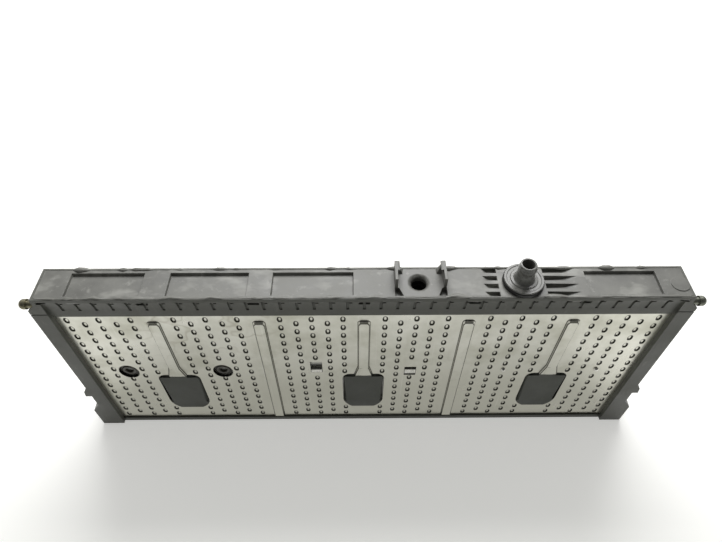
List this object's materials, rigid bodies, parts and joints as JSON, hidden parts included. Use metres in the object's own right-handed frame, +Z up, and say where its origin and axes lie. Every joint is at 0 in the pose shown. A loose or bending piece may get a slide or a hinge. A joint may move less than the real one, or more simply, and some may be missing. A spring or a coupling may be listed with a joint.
{
  "type": "battery module",
  "caption": "Flat upright battery module: plastic frame around a dimpled cold plate with ridges and windows, ribbed top rail, flanged coolant nipple.",
  "frame": {"origin": "centre of the footprint at the height of the underside of the feet", "axes": "+X along the module towards the end with the coolant nipple, +Z up, -Y out of the face with the dimpled cold plate"},
  "size_m": [0.67, 0.04, 0.2865],
  "materials": {
    "frame_plastic": "moulded dark grey",
    "rail_plastic": "moulded dark grey",
    "plate_aluminium": "stamped, dull",
    "inner_aluminium": "mill finish",
    "carrier_plastic": "moulded black",
    "cell_pouch": "satin laminate",
    "foam": "soft foam",
    "busbar_copper": "bare",
    "terminal_brass": "turned",
    "board": "solder mask",
    "ribbon": "film",
    "header_plastic": "moulded black",
    "contact_metal": "plated",
    "nipple_plastic": "smooth grey",
    "seal_rubber": "black",
    "manifold_plastic": "moulded",
    "pin_brass": "dull",
    "boss_plastic": "brown grey",
    "tab_steel": "spring steel",
    "rivet_steel": "domed"
  },
  "bodies": {
    "root": {"front_frame": "frame_plastic", "rear_frame": "frame_plastic", "top_rail": "rail_plastic", "cold_plate_outer": "plate_aluminium", "cold_plate_inner": "inner_aluminium", "rear_plate": "inner_aluminium", "cell_carrier": "carrier_plastic", "cell_1_1": "cell_pouch", "cell_1_2": "cell_pouch", "cell_1_3": "cell_pouch", "cell_2_1": "cell_pouch", "cell_2_2": "cell_pouch", "cell_2_3": "cell_pouch", "cell_3_1": "cell_pouch", "cell_3_2": "cell_pouch", "cell_3_3": "cell_pouch", "cell_4_1": "cell_pouch", "cell_4_2": "cell_pouch", "cell_4_3": "cell_pouch", "cell_5_1": "cell_pouch", "cell_5_2": "cell_pouch", "cell_5_3": "cell_pouch", "cell_6_1": "cell_pouch", "cell_6_2": "cell_pouch", "cell_6_3": "cell_pouch", "foam_pads_1": "foam", "foam_pads_2": "foam", "foam_pads_3": "foam", "foam_pads_4": "foam", "foam_pads_5": "foam", "foam_pads_6": "foam", "link_busbar_1": "busbar_copper", "link_busbar_2": "busbar_copper", "link_busbar_3": "busbar_copper", "link_busbar_4": "busbar_copper", "link_busbar_5": "busbar_copper", "left_end_busbar": "busbar_copper", "left_terminal": "terminal_brass", "left_corner_pin": "pin_brass", "right_end_busbar": "busbar_copper", "right_terminal": "terminal_brass", "right_corner_pin": "pin_brass", "sense_board": "board", "sense_ribbon": "ribbon", "sense_header": "header_plastic", "header_contacts": "contact_metal", "inlet_manifold": "manifold_plastic", "outlet_manifold": "manifold_plastic", "coolant_nipple": "nipple_plastic", "nipple_seal_ring": "seal_rubber", "port_sleeve": "tab_steel", "sensor_boss_1": "boss_plastic", "spring_tab_1": "tab_steel", "dome_rivet_1": "rivet_steel", "sensor_boss_2": "boss_plastic", "spring_tab_2": "tab_steel", "dome_rivet_2": "rivet_steel"}
  },
  "joints": []
}
